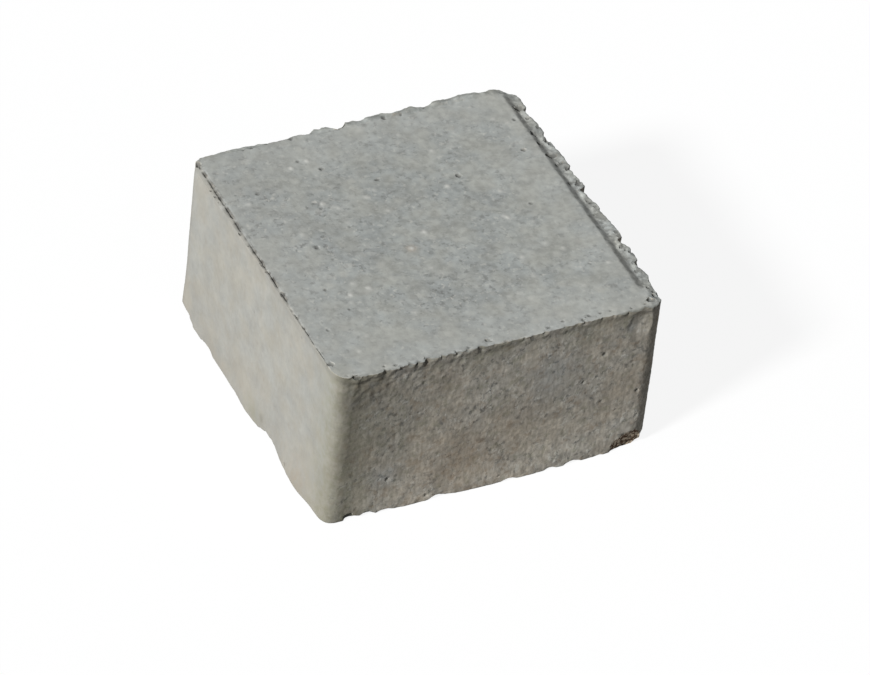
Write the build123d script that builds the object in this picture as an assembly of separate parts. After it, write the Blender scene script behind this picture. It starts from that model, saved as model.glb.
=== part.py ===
from build123d import *
import os

# A concrete paving stone, pressed from stiff mix in a mould box and cast as one piece.
# Millimetres, origin at the middle of the bed, +Z up, front side towards -Y, left side towards -X.

# Block as the mould box leaves it
STONE_WIDTH = 115.0  # left to right
STONE_LENGTH = 115.0  # front to back
FACE_HEIGHT = 60.0  # from the bed to the pressed face
CORNER_RADIUS = 7.0  # of the four upright corners
BED_ARRIS_RADIUS = 0.6  # worn lower edge

# Print of the tamper shoe in the top, with a groove round it
GROOVE_WIDTH = 1.3
GROOVE_DEPTH = 0.7  # below the pressed face
FACE_ARRIS_RADIUS = 0.3  # edge of the pressed face at the groove

# Lip of mix squeezed up between the shoe and the mould wall: the shoe came down off centre
LEFT_LIP = 0.4
RIGHT_LIP = 2.8
FRONT_LIP = 0.6
BACK_LIP = 2.2
LIP_RISE = 0.8  # above the pressed face
LIP_BEVEL_SHARE = 0.5  # of each lip's width, falling away to the outside

# Shell-shaped scars where grains broke out of the lip's outer edge, as shares of the side they follow
RIGHT_SCAR_SHARES = (-0.43, -0.33, -0.23, -0.12, -0.01, 0.09, 0.26, 0.37)
BACK_SCAR_SHARES = (-0.25, -0.14, -0.05, 0.23, 0.42)
LIP_SCAR_REACH = 9.0  # along the edge
LIP_SCAR_BITE = 1.2  # into the edge

# Scars in the lower edge, with their places as shares of the side they follow
CORNER_SCAR_SHARE = 0.45  # at the front, beside the right corner
CORNER_SCAR_REACH = 24.0
CORNER_SCAR_BITE = 2.1
FRONT_SCAR_SHARES = (-0.42, -0.37, -0.16)
FRONT_SCAR_REACH = 6.0
FRONT_SCAR_BITE = 1.0
LEFT_SCAR_SHARES = (-0.14, 0.28)
LEFT_SCAR_REACH = 15.0
LEFT_SCAR_BITE = 1.9
HEEL_SCAR_SHARE = 0.43  # at the left, beside the back corner
HEEL_SCAR_REACH = 18.0
HEEL_SCAR_BITE = 2.6

# Ways out of the stone through an edge: scars are deepest along them
UP_RIGHT = (1, 0, 1)
UP_BACK = (0, 1, 1)
DOWN_FRONT = (0, -1, -1)
DOWN_LEFT = (-1, 0, -1)
DOWN_FRONT_CORNER = (0.1, -1, -0.3)
DOWN_LEFT_CORNER = (-1, 0.3, -1)

OVERRUN = 1.0  # of a cut past the face it starts from

right_side = STONE_WIDTH / 2
back_side = STONE_LENGTH / 2


def outline(height, lip_share=0.0, inset=0.0):
    """Plan of the stone at a height, drawn in by a share of each lip and then evenly by an inset."""
    lips = (LEFT_LIP, RIGHT_LIP, FRONT_LIP, BACK_LIP)
    left, right, front, back = (lip * lip_share + inset for lip in lips)
    radius = CORNER_RADIUS - min(lips) * lip_share - inset
    plan = RectangleRounded(STONE_WIDTH - left - right, STONE_LENGTH - front - back, radius)
    return Pos((left - right) / 2, (front - back) / 2, height) * plan


def block():
    """Plain block up to the level of the pressed face, with its lower edge worn round."""
    blank = extrude(outline(0), FACE_HEIGHT)
    bed = blank.faces().sort_by(Axis.Z)[0]
    return fillet(bed.edges(), BED_ARRIS_RADIUS)


def lip():
    """Full cap over the block whose sides fall away to the outside, before the shoe's print is taken out."""
    foot = outline(FACE_HEIGHT)
    crest = outline(FACE_HEIGHT + LIP_RISE, LIP_BEVEL_SHARE)
    return loft([foot, crest], ruled=True)


def shoe_space():
    """Room inside the lip, down to the floor of the groove."""
    return extrude(outline(FACE_HEIGHT - GROOVE_DEPTH, 1.0), GROOVE_DEPTH + LIP_RISE + OVERRUN)


def pressed_pad():
    """Stone under the shoe, standing in the groove up to the pressed face."""
    pad = extrude(outline(FACE_HEIGHT - GROOVE_DEPTH, 1.0, GROOVE_WIDTH), GROOVE_DEPTH)
    face = pad.faces().sort_by(Axis.Z)[-1]
    return fillet(face.edges(), FACE_ARRIS_RADIUS)


def scar(place, way_out, reach, bite):
    """Ball that leaves a scar of a given reach along an edge and a given bite into it."""
    radius = ((reach / 2) ** 2 + bite**2) / (2 * bite)
    centre = Vector(place) + Vector(way_out).normalized() * (radius - bite)
    return Pos(*centre) * Sphere(radius)


def lip_scars():
    """Balls along the outer edges of the right and back lips."""
    right = [(right_side, share * STONE_LENGTH, FACE_HEIGHT) for share in RIGHT_SCAR_SHARES]
    back = [(share * STONE_WIDTH, back_side, FACE_HEIGHT) for share in BACK_SCAR_SHARES]
    balls = [scar(place, UP_RIGHT, LIP_SCAR_REACH, LIP_SCAR_BITE) for place in right]
    balls += [scar(place, UP_BACK, LIP_SCAR_REACH, LIP_SCAR_BITE) for place in back]
    return balls


def bed_scars():
    """Balls along the lower edges of the front and left sides and at two of the corners."""
    corner = (CORNER_SCAR_SHARE * STONE_WIDTH, -back_side, 0)
    heel = (-right_side, HEEL_SCAR_SHARE * STONE_LENGTH, 0)
    front = [(share * STONE_WIDTH, -back_side, 0) for share in FRONT_SCAR_SHARES]
    left = [(-right_side, share * STONE_LENGTH, 0) for share in LEFT_SCAR_SHARES]
    balls = [scar(place, DOWN_FRONT, FRONT_SCAR_REACH, FRONT_SCAR_BITE) for place in front]
    balls += [scar(place, DOWN_LEFT, LEFT_SCAR_REACH, LEFT_SCAR_BITE) for place in left]
    balls.append(scar(corner, DOWN_FRONT_CORNER, CORNER_SCAR_REACH, CORNER_SCAR_BITE))
    balls.append(scar(heel, DOWN_LEFT_CORNER, HEEL_SCAR_REACH, HEEL_SCAR_BITE))
    return balls


def paving_stone():
    """The whole stone: block and lip, print and groove, then the scars."""
    stone = block() + lip() - shoe_space() + pressed_pad()
    return stone - lip_scars() - bed_scars()


os.makedirs("parts", exist_ok=True)
export_step(paving_stone(), "parts/paving_stone.step")
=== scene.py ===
"""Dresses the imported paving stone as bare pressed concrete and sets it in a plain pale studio."""

import logging
import math
from dataclasses import dataclass, field
from enum import Enum

import bpy
import numpy as np
from mathutils import Matrix, Vector


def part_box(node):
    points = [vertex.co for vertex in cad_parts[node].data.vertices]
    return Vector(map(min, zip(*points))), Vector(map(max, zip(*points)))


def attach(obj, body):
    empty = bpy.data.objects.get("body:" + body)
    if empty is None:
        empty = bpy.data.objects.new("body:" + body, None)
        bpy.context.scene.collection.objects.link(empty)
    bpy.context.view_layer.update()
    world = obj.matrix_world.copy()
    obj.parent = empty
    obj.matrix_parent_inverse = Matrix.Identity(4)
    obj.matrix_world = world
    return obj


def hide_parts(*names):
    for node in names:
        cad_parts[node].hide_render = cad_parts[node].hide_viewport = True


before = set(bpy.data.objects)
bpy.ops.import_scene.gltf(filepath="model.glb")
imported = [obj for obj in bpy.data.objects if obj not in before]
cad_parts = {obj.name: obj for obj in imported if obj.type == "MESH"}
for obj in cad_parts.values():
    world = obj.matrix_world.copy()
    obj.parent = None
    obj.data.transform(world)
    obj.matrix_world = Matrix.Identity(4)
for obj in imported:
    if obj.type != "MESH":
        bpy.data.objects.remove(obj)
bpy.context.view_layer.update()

Array = np.ndarray
Socket = bpy.types.NodeSocket
Pair = tuple[float, float]
Triple = tuple[float, float, float]
Span = tuple[float, float, float, float]

MM = 0.001
TINY = 1e-9
SEED = 41
NODE = "paving_stone"
PHOTO_WIDTH = 870
DOWN = (0, 0, -1)

log = logging.getLogger("paving_stone")


class Side(Enum):
    """The four upright sides, in the order that shares of them are listed."""

    LEFT = 0
    RIGHT = 1
    FRONT = 2
    BACK = 3


class Zone(Enum):
    """Kinds of surface that the finish tells apart, each with the mesh layer and channel that hold it."""

    SLURRY = ("face", 0)
    LIP = ("face", 1)
    OPEN = ("face", 2)
    # Holes and the groove carry dark paint: partly dirt, partly painted shade in the recesses
    PIT = ("wear", 0)
    GROOVE = ("wear", 1)
    RUST = ("wear", 2)
    BROWN = ("stain", 0)
    OLIVE = ("stain", 1)
    BLUE = ("stain", 2)
    PALE = ("tone", 0)
    DARK = ("tone", 1)

    @property
    def layer(self) -> str:
        """Mesh attribute that holds the zone."""
        return self.value[0]

    @property
    def channel(self) -> int:
        """Colour channel of that attribute."""
        return self.value[1]


LAYERS = sorted({zone.layer for zone in Zone})


class Lumps(Enum):
    """Patterns of lumps in several sizes: largest reach in millimetres, number of sizes and turn."""

    SIDE_GRAIN = (1.3, 2, 10)
    RIM = (4.0, 3, 35)
    FOOT = (6.0, 3, 40)
    PRINT_EDGE = (3.0, 2, 60)
    GROOVE_FILL = (6.0, 3, 65)
    GROOVE_DASHES = (2.6, 2, 68)
    CREST = (6.0, 3, 70)
    TOP_GRAIN = (1.4, 2, 90)
    OPEN_PATCHES = (14.0, 3, 100)
    BREAK = (2.4, 3, 120)
    MARK_EDGE = (3.0, 3, 140)
    OLIVE_BAND = (6.0, 2, 150)
    RAGGED_EDGE = (2.0, 2, 160)
    BITE_PLACE = (2.0, 2, 175)
    SCARRED_SIDE = (2.4, 2, 180)


class Waves(Enum):
    """Patterns of gentle waves: reach in millimetres and turn."""

    DRAG = (1.1, 20)
    SIDE = (24.0, 30)
    TOP = (30.0, 95)
    BITE_HEIGHT = (4.0, 178)


class Bubbles(Enum):
    """Patterns of air bubbles: cell size, smallest and largest radius in millimetres, and turn."""

    SIDE = (2.6, 0.3, 0.9, 50)
    TOP = (2.4, 0.3, 0.8, 80)
    BED = (3.4, 0.4, 1.4, 130)


def smooth_step(value: Array) -> Array:
    """Eases a share from 0 to 1, flat at both ends."""
    held = np.clip(value, 0.0, 1.0)
    return held * held * (3.0 - 2.0 * held)


def fade_out(depth: Array, reach: Array | float) -> Array:
    """Gives 1 at no depth, falling to 0 at the reach."""
    return 1.0 - smooth_step(depth / reach)


def bell(away: Array) -> Array:
    """Gives 1 at the middle, fading out in a bell shape past 1."""
    return np.exp(-(away**2))


def unit(way: Triple) -> Array:
    """Brings a direction to length 1."""
    return np.array(way, float) / np.linalg.norm(way)


def between(draw: np.random.Generator, ends: Pair) -> float:
    """Draws a number between two ends, or takes the one number where both are the same."""
    return ends[0] if ends[0] == ends[1] else draw.uniform(*ends)


def rounded_distance(at: Array, half: Array, radius: float) -> tuple[Array, Array]:
    """Measures plan points against a rounded rectangle about the origin.

    Args:
        at: Plan points, one row each.
        half: Half the rectangle's width and length.
        radius: Corner radius.

    Returns:
        The distance to the outline, negative inside, and the way straight out of it.
    """
    corner = np.abs(at) - (half - radius)
    beyond = np.maximum(corner, 0.0)
    reach = np.linalg.norm(beyond, axis=1)
    deepest = corner.max(axis=1)
    straight = (corner >= deepest[:, None]).astype(float)
    straight /= np.linalg.norm(straight, axis=1)[:, None]
    way = np.where(reach[:, None] > TINY, beyond / np.maximum(reach, TINY)[:, None], straight)
    return reach + np.minimum(deepest, 0.0) - radius, way * np.where(at < 0, -1.0, 1.0)


class RandomField:
    """Seeded noise in space that is the same on every run. Every turn gives a draw of its own."""

    # From the middle of a cube to the middles of its twelve edges
    WAYS = np.array([w for w in np.ndindex(3, 3, 3) if w.count(1) == 1]) - 1.0
    CELL_FACTORS = (73856093, 19349663, 83492791)
    TURN_FACTOR = 2654435761
    SEED_STEP = 131
    MIXER = 0x45D9F3B
    LOW_BITS = 0xFFFFFFFF
    HALF_BITS = 16
    WAVE_GAIN = 1.4
    LAYER_SUM = 1.5

    def __init__(self, seed: int) -> None:
        """Keeps the seed that every draw starts from."""
        self.seed = seed

    def draw(self, cell: Array, turn: int) -> Array:
        """Draws one number from 0 to 1 for each cell of a whole-number grid.

        Args:
            cell: Whole cell coordinates, one row each.
            turn: Which of the independent draws for a cell to take.

        Returns:
            One number for each row.
        """
        x, y, z = (cell.astype(np.int64) * self.CELL_FACTORS).T
        start = (self.seed * self.SEED_STEP + turn) * self.TURN_FACTOR
        mixed = (x ^ y ^ z ^ start) & self.LOW_BITS
        for _ in range(2):
            mixed = ((mixed ^ (mixed >> self.HALF_BITS)) * self.MIXER) & self.LOW_BITS
        return (mixed ^ (mixed >> self.HALF_BITS)) / self.LOW_BITS

    def smooth(self, at: Array, size: float, turn: int) -> Array:
        """Gives gentle lumps and hollows.

        Args:
            at: Points, one row each.
            size: About how far a lump reaches.
            turn: Which independent pattern to take.

        Returns:
            A number of about -1 to 1 for each point.
        """
        scaled = at / size
        cell = np.floor(scaled)
        local = scaled - cell
        ease = local**3 * (local * (local * 6 - 15) + 10)
        total = np.zeros(len(at))
        for corner in np.ndindex(2, 2, 2):
            step = np.array(corner, float)
            pick = (self.draw(cell + step, turn) * (len(self.WAYS) - TINY)).astype(int)
            weight = np.prod(np.where(step > 0, ease, 1 - ease), axis=1)
            total += weight * np.einsum("ij,ij->i", self.WAYS[pick], local - step)
        return total * self.WAVE_GAIN

    def waves(self, at: Array, pattern: Waves) -> Array:
        """Gives one pattern of gentle waves."""
        return self.smooth(at, *pattern.value)

    def lumps(self, at: Array, pattern: Lumps) -> Array:
        """Adds lumps of ever smaller size, each layer half as large and strong as the one before.

        Args:
            at: Points, one row each.
            pattern: Which pattern to take.

        Returns:
            A number of about -1 to 1 for each point.
        """
        size, layers, turn = pattern.value
        parts = [self.smooth(at, size / 2**k, turn + k) / 2**k for k in range(layers)]
        return sum(parts) / self.LAYER_SUM

    def bubbles(self, at: Array, pattern: Bubbles, share: Array | float) -> Array:
        """Cuts the surface through air bubbles that are strewn in the mix, at most one to a cell.

        Args:
            at: Points, one row each.
            pattern: Which pattern to take.
            share: Share of the cells with a bubble.

        Returns:
            How deep each point lies in a bubble, 0 outside.
        """
        spacing, least, most, turn = pattern.value
        home = np.floor(at / spacing)
        depth = np.zeros(len(at))
        for neighbour in np.ndindex(3, 3, 3):
            cell = home + np.array(neighbour) - 1
            middle = np.stack([self.draw(cell, turn + k) for k in range(3)], axis=1)
            radius = least + (most - least) * self.draw(cell, turn + 3) ** 2
            held = radius**2 - ((at - (cell + middle) * spacing) ** 2).sum(axis=1)
            there = self.draw(cell, turn + 4) < share
            depth = np.maximum(depth, np.sqrt(np.maximum(held, 0.0)) * there)
        return depth


class Wiring:
    """Short words for placing and joining the nodes of one material or world."""

    def __init__(self, tree: bpy.types.NodeTree) -> None:
        """Starts an empty tree."""
        self.tree = tree
        tree.nodes.clear()

    def node(self, kind: str, inputs: dict | None = None, **settings: object) -> bpy.types.Node:
        """Adds one node.

        Args:
            kind: Blender's name of the node type, without its common beginning.
            inputs: Values or sockets for the inputs, by name or by place.
            settings: Properties of the node itself.

        Returns:
            The new node.
        """
        made = self.tree.nodes.new("ShaderNode" + kind)
        for name, value in settings.items():
            setattr(made, name, value)
        for name, value in (inputs or {}).items():
            if isinstance(value, Socket):
                self.tree.links.new(value, made.inputs[name])
            else:
                made.inputs[name].default_value = value
        return made

    def noise(self, where: Socket, size: float, detail: float = 2.0, rough: float = 0.5) -> bpy.types.Node:
        """Adds cloudy noise with features of about one size."""
        inputs = {"Vector": where, "Scale": 1 / size, "Detail": detail, "Roughness": rough}
        return self.node("TexNoise", inputs)

    def bent(self, where: Socket, noise: bpy.types.Node, reach: float) -> Socket:
        """Shifts places by the colour of a noise, up to a reach along each axis."""
        inputs = {0: noise.outputs["Color"], 1: (reach,) * 3, 2: where}
        return self.node("VectorMath", inputs, operation="MULTIPLY_ADD").outputs[0]

    def channels(self, color: Socket) -> bpy.types.NodeOutputs:
        """Takes a colour apart."""
        return self.node("SeparateColor", {"Color": color}).outputs

    def span(self, value: Socket, low: float, high: float, start: float = 0.0, end: float = 1.0) -> Socket:
        """Eases a value from one span to another, held at both ends."""
        inputs = {"Value": value, "From Min": low, "From Max": high, "To Min": start, "To Max": end}
        return self.node("MapRange", inputs, interpolation_type="SMOOTHSTEP").outputs[0]

    def calmed(self, share: Socket, level: float) -> Socket:
        """Gives 1 where a share is 0, falling to a level where it is 1."""
        return self.span(share, 0.0, 1.0, 1.0, level)

    def swing(self, noise: Socket, tone: float) -> Socket:
        """Turns a noise into a tone that swings as far down as up."""
        return self.span(noise, 0.25, 0.75, -tone, tone)

    def math(self, operation: str, first: object, second: object) -> Socket:
        """Works out one sum on two values."""
        return self.node("Math", {0: first, 1: second}, operation=operation).outputs[0]

    def times(self, first: object, second: object) -> Socket:
        """Multiplies two values."""
        return self.math("MULTIPLY", first, second)

    def rest(self, share: Socket) -> Socket:
        """Gives what a share leaves of 1."""
        return self.math("SUBTRACT", 1.0, share)

    def mix(self, factor: object, first: object, second: object, blend: str = "MIX") -> Socket:
        """Lays a second colour over a first one."""
        inputs = {0: factor, 6: first, 7: second}
        return self.node("Mix", inputs, data_type="RGBA", blend_type=blend).outputs[2]

    def cover(self, share: object, color: Socket, paint: Triple) -> Socket:
        """Lays a plain paint over a colour."""
        return self.mix(share, color, (*paint, 1.0))

    def shade(self, color: Socket, gain: Socket) -> Socket:
        """Makes a colour lighter by a share of itself, or darker where the share is below 0.

        Args:
            color: The colour so far.
            gain: The share.

        Returns:
            The colour made lighter or darker.
        """
        level = self.math("ADD", 1.0, gain)
        grey = self.node("CombineColor", {0: level, 1: level, 2: level}).outputs[0]
        return self.mix(1.0, color, grey, "MULTIPLY")


@dataclass
class Reading:
    """What the finish reads off the stone at a point.

    That is its place, how far it faces up, how bare its grain lies, its clouds and its zones.
    """

    w: Wiring
    where: Socket
    top: Socket
    bare: Socket
    clouds: Socket
    zones: dict[Zone, Socket]


@dataclass(frozen=True)
class Concrete:
    """Bare pressed concrete, with its colours as plain daylight shows them. Sizes are in metres.

    A span eases a value: from where to where it counts, and what it gives at both ends.
    """

    name: str = "bare_concrete"

    # Colours
    top_color: Triple = (0.330, 0.340, 0.321)
    side_color: Triple = (0.415, 0.383, 0.327)
    slurry_color: Triple = (0.335, 0.328, 0.297)
    warm_tint: Triple = (1.018, 1.0, 0.972)
    cool_tint: Triple = (0.982, 1.0, 1.024)
    brown_color: Triple = (0.270, 0.205, 0.140)
    olive_color: Triple = (0.225, 0.220, 0.155)
    blue_color: Triple = (0.290, 0.310, 0.320)
    pale_color: Triple = (0.480, 0.480, 0.450)
    # Dark paint for the groove, the lip's pores and the holes: partly dirt, partly painted shade in the
    # recesses
    grime_and_shade_color: Triple = (0.055, 0.053, 0.048)
    rust_color: Triple = (0.10, 0.06, 0.035)
    rust_grain_color: Triple = (0.72, 0.60, 0.46)
    pale_speck_color: Triple = (0.56, 0.55, 0.50)
    dark_speck_color: Triple = (0.13, 0.13, 0.122)

    # Sizes of the patterns
    drift_size: float = 9.0 * MM
    broad_size: float = 8.0 * MM
    cloud_size: float = 2.2 * MM
    patch_size: float = 2.8 * MM
    sand_size: float = 1.1 * MM
    grain_size: float = 1.9 * MM
    gravel_size: float = 3.4 * MM
    rust_grain_size: float = 1.3 * MM
    streak_size: float = 0.9 * MM
    sand_depth: float = 0.16 * MM
    ragged: float = 0.6
    streak_squeeze: float = 0.3
    rust_bend: float = 1.5

    # Spans
    level_span: Span = (0.35, 0.7, 0.0, 1.0)
    tint_span: Span = (0.3, 0.7, 0.0, 1.0)
    drift_span: Span = (0.35, 0.65, 0.35, 1.0)
    dark_span: Span = (0.52, 0.72, 0.0, 0.85)
    pale_span: Span = (0.54, 0.74, 0.0, 0.8)
    gravel_span: Span = (0.65, 0.2, 0.0, 1.0)
    dark_gravel_span: Span = (0.65, 1.0, 0.0, 0.35)
    pale_gravel_span: Span = (0.65, 1.0, 0.0, 0.4)
    brown_span: Span = (0.52, 0.72, 0.0, 0.45)
    olive_span: Span = (0.47, 0.28, 0.0, 0.45)
    patchy_span: Span = (0.25, 0.75, 0.35, 1.0)
    lip_span: Span = (0.65, 0.35, 0.06, 0.38)
    groove_span: Span = (0.7, 0.3, 0.5, 0.95)
    grit_gap_span: Span = (0.40, 0.66, 0.0, 1.0)
    grit_tone_span: Span = (0.0, 1.0, -0.75, 0.1)
    relief_span: Span = (0.0, 1.0, 0.35, 0.25)
    rough_span: Span = (0.2, 0.8, 0.86, 0.98)

    # Strengths, and what the closed skins leave of them
    streak_tone: float = 0.15
    broad_tone: float = 0.13
    cloud_tone: float = 0.18
    dark_tone: float = -0.5
    # How far holes, pits and dark flecks are painted dark: dirt, and painted shade inside the holes
    pit_dirt_and_shade: float = 0.6
    specular: float = 0.25
    pressed_skin: float = 0.45
    slurry_grain: float = 0.1
    slurry_clouds: float = 0.22
    slurry_broad: float = 0.5
    slurry_stain: float = 0.2
    top_clouds: float = 0.7
    top_broad: float = 0.75

    def read(self, w: Wiring) -> Reading:
        """Reads the stone's mesh.

        Args:
            w: The tree to read it in.

        Returns:
            What the finish needs to know at a point.
        """
        where = w.node("TexCoord").outputs["Object"]
        normal = w.node("NewGeometry").outputs["True Normal"]
        clouds = w.noise(where, self.cloud_size).outputs[0]
        parts = {}
        for layer in LAYERS:
            parts[layer] = w.channels(w.node("Attribute", attribute_name=layer).outputs["Color"])
        zones = {zone: parts[zone.layer][zone.channel] for zone in Zone}
        slurry = zones[Zone.SLURRY]
        level = w.span(w.node("SeparateXYZ", {0: normal}).outputs[2], *self.level_span)
        top = w.times(level, w.rest(slurry))
        pressed = w.times(top, w.span(zones[Zone.OPEN], 0.0, 1.0, self.pressed_skin, 0.0))
        bare = w.times(w.calmed(slurry, self.slurry_grain), w.rest(pressed))
        return Reading(w, where, top, bare, clouds, zones)

    def material(self) -> bpy.types.Material:
        """Wires the concrete's colour, roughness and grain.

        Returns:
            The finished material.
        """
        made = bpy.data.materials.new(self.name)
        made.use_nodes = True
        w = Wiring(made.node_tree)
        at = self.read(w)
        color, grains = self.specks(at, self.cement(at))
        color = self.wear(at, self.stains_and_shade(at, color))
        sand = w.noise(at.where, self.sand_size, detail=1.0).outputs[0]
        height = w.math("ADD", w.math("ADD", sand, at.clouds), grains)
        strength = w.times(at.bare, w.span(at.top, *self.relief_span))
        bump = w.node("Bump", {"Height": height, "Strength": strength, "Distance": self.sand_depth})
        inputs = {
            "Base Color": color,
            "Roughness": w.span(at.clouds, *self.rough_span),
            "Normal": bump.outputs[0],
            "Specular IOR Level": self.specular,
        }
        w.node("OutputMaterial", {"Surface": w.node("BsdfPrincipled", inputs).outputs[0]})
        return made

    def cement(self, at: Reading) -> Socket:
        """Colours the cement itself, face by face, with a drift from warm to cool, streaks and clouds.

        Args:
            at: What the finish reads off the stone.

        Returns:
            The colour so far.
        """
        w = at.w
        slurry = at.zones[Zone.SLURRY]
        color = w.mix(slurry, (*self.side_color, 1), (*self.slurry_color, 1))
        color = w.cover(at.top, color, self.top_color)
        drift = w.noise(at.where, self.drift_size).outputs[0]
        tint = w.mix(w.span(drift, *self.tint_span), (*self.warm_tint, 1), (*self.cool_tint, 1))
        color = w.mix(1.0, color, tint, "MULTIPLY")
        inputs = {0: at.where, 1: (1.0, 1.0, self.streak_squeeze)}
        drawn = w.node("VectorMath", inputs, operation="MULTIPLY").outputs[0]
        streaks = w.noise(drawn, self.streak_size, detail=1.0).outputs[0]
        upright = w.times(at.bare, w.rest(at.top))
        color = w.shade(color, w.times(upright, w.swing(streaks, self.streak_tone)))
        broad = w.noise(at.where, self.broad_size).outputs[0]
        calm = w.times(w.calmed(slurry, self.slurry_broad), w.calmed(at.top, self.top_broad))
        color = w.shade(color, w.times(calm, w.swing(broad, self.broad_tone)))
        calm = w.times(w.calmed(slurry, self.slurry_clouds), w.calmed(at.top, self.top_clouds))
        return w.shade(color, w.times(calm, w.swing(at.clouds, self.cloud_tone)))

    def specks(self, at: Reading, color: Socket) -> tuple[Socket, Socket]:
        """Strews dark pores and pale grains: fine ragged ones in drifts, and a few larger round ones.

        Args:
            at: What the finish reads off the stone.
            color: The colour so far.

        Returns:
            The colour with its grains, and how far they stand out or lie in.
        """
        w = at.w
        drift = w.noise(at.where, self.drift_size).outputs[0]
        strewn = w.times(at.bare, w.span(drift, *self.drift_span))
        chance = w.channels(w.noise(at.where, self.grain_size, rough=self.ragged).outputs["Color"])
        dark = w.times(strewn, w.span(chance[0], *self.dark_span))
        pale = w.times(strewn, w.span(chance[1], *self.pale_span))
        bent = w.bent(at.where, w.noise(at.where, self.grain_size, detail=1.0), self.grain_size)
        gravel = w.node("TexVoronoi", {"Vector": bent, "Scale": 1 / self.gravel_size}).outputs
        chance = w.channels(gravel["Color"])
        core = w.times(at.bare, w.span(gravel["Distance"], *self.gravel_span))
        dark = w.math("MAXIMUM", dark, w.times(core, w.span(chance[0], *self.dark_gravel_span)))
        pale = w.math("MAXIMUM", pale, w.times(core, w.span(chance[1], *self.pale_gravel_span)))
        color = w.cover(pale, w.cover(dark, color, self.dark_speck_color), self.pale_speck_color)
        return color, w.math("SUBTRACT", pale, dark)

    def stains_and_shade(self, at: Reading, color: Socket) -> Socket:
        """Lays on the brown, olive and bluish stains and the broad light and dark of the faces, with
        painted shade below the front's upper edge.

        Args:
            at: What the finish reads off the stone.
            color: The colour so far.

        Returns:
            The stained colour.
        """
        w = at.w
        rough = w.times(w.rest(at.top), w.calmed(at.zones[Zone.SLURRY], self.slurry_stain))
        patches = w.noise(at.where, self.patch_size, rough=self.ragged).outputs[0]
        color = w.cover(w.times(rough, w.span(patches, *self.brown_span)), color, self.brown_color)
        color = w.cover(w.times(rough, w.span(patches, *self.olive_span)), color, self.olive_color)
        patchy = w.span(at.clouds, *self.patchy_span)
        paints = {Zone.BROWN: self.brown_color, Zone.OLIVE: self.olive_color, Zone.BLUE: self.blue_color}
        for zone, paint in paints.items():
            color = w.cover(w.times(at.zones[zone], patchy), color, paint)
        color = w.cover(at.zones[Zone.PALE], color, self.pale_color)
        # The dark zone holds painted shade below the front's upper edge as well as broad darker tone
        return w.shade(color, w.times(at.zones[Zone.DARK], self.dark_tone))

    def wear(self, at: Reading, color: Socket) -> Socket:
        """Darkens holes, groove and lip with dirt and painted shade, and fills the broken corner with rusty
        grit.

        Args:
            at: What the finish reads off the stone.
            color: The colour so far.

        Returns:
            The worn colour.
        """
        w = at.w
        lip = w.times(at.zones[Zone.LIP], w.span(at.clouds, *self.lip_span))
        groove = w.times(at.zones[Zone.GROOVE], w.span(at.clouds, *self.groove_span))
        # Lip pores, groove and holes are painted dark: partly dirt, partly painted shade in the recesses
        for share in (lip, groove, w.times(at.zones[Zone.PIT], self.pit_dirt_and_shade)):
            color = w.cover(share, color, self.grime_and_shade_color)
        size = self.rust_grain_size
        bent = w.bent(at.where, w.noise(at.where, size, rough=self.ragged), self.rust_bend * size)
        grit = w.node("TexVoronoi", {"Vector": bent, "Scale": 1 / size}).outputs
        tone = w.span(w.channels(grit["Color"])[0], *self.grit_tone_span)
        grains = w.shade(w.cover(1.0, color, self.rust_grain_color), tone)
        rust = w.cover(w.span(grit["Distance"], *self.grit_gap_span), grains, self.rust_color)
        return w.mix(at.zones[Zone.RUST], color, rust)


@dataclass(frozen=True)
class SideForm:
    """How one side came out of the mould. Lengths are in millimetres.

    The lip runs along the top of the side, outside the groove. Its crest rises and tilts along the side and
    wanders by its spread, it falls away to the outside by a slope, and crumble says how dark its pores are.
    The print slopes down into the groove over a share of the groove's width, and the lip climbs out of it
    over a share of its own. The groove is filled with crumbs in a share of places, from its near end to its
    far end, and groove_dirt_and_shade says how dark the groove is painted: partly dirt, partly painted
    shade in the recess. Rim and foot say how ragged the upper and lower edges are, rim_out and rim_tilt how
    far the upper one stands out, and arris how far it is worn.
    places with an air hole, and slurry says how closed the skin is.
    """

    lip_width: float
    lip_rise: float
    lip_tilt: float
    lip_spread: float
    groove_width: float
    groove_depth: float
    near_filled: float
    far_filled: float
    rim: float
    foot: float
    arris: float
    grain: float = 0.13
    drag: float = 0.03
    holes: float = 0.10
    slurry: float = 0.1
    # How dark the groove is painted: partly dirt, partly painted shade in the recess
    groove_dirt_and_shade: float = 0.4
    crumble: float = 0.3
    lip_fall: float = 0.0
    print_slope: float = 0.7
    lip_climb: float = 0.5
    rim_out: float = 0.0
    rim_tilt: float = 0.0


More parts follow.
